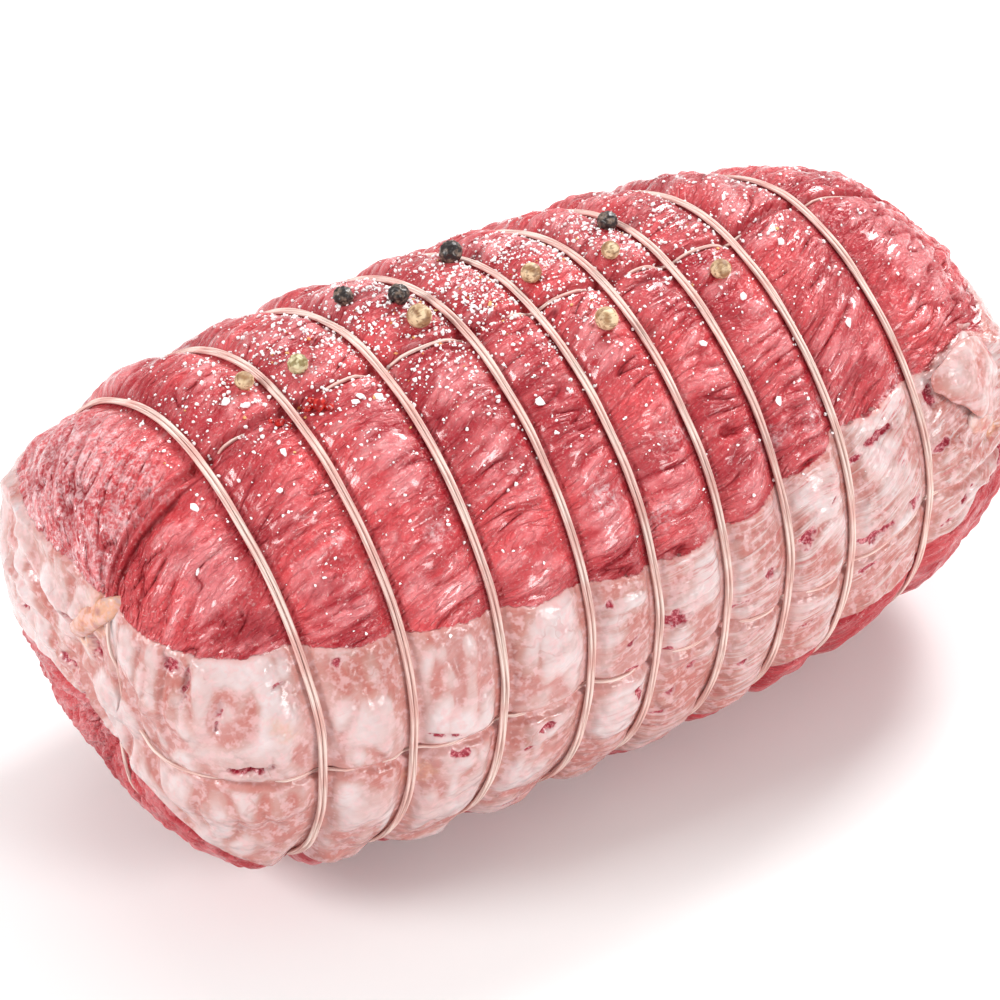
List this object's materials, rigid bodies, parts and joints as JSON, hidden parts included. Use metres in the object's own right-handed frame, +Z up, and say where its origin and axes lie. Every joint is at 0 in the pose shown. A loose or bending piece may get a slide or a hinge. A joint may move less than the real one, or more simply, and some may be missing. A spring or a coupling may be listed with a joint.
{
  "type": "tied beef roast",
  "caption": "Raw rolled beef joint tied with loops of butcher's string, red lean meat over a broad layer of white fat, with peppercorns and coarse salt on top.",
  "frame": {"origin": "middle of the underside of the box that holds the whole joint, on the surface that it lies on", "axes": "+X along the joint's length, towards the end with the folded lump of fat; -Y towards the front, where the fat shows; +Z up"},
  "size_m": [0.2422, 0.1293, 0.1219],
  "materials": {
    "upper_meat": "raw beef, moist and glossy, with fine fibres, white salt grains, black, beige and red peppercorns",
    "lower_meat": "raw beef, moist and glossy, darker red",
    "fat": "raw beef fat, pinkish white and slightly greasy, with red flecks of meat showing through",
    "string": "unbleached cotton butcher's string, lightly twisted and tinted pink by the meat"
  },
  "bodies": {
    "root": {"meat_upper": "upper_meat", "fat_layer": "fat", "meat_lower": "lower_meat", "string_loop_1": "string", "string_loop_2": "string", "string_loop_3": "string", "string_loop_4": "string", "string_loop_5": "string", "string_loop_6": "string", "string_loop_7": "string", "string_loop_8": "string", "string_loop_9": "string", "string_lengthwise": "string", "string_front": "string"}
  },
  "joints": []
}
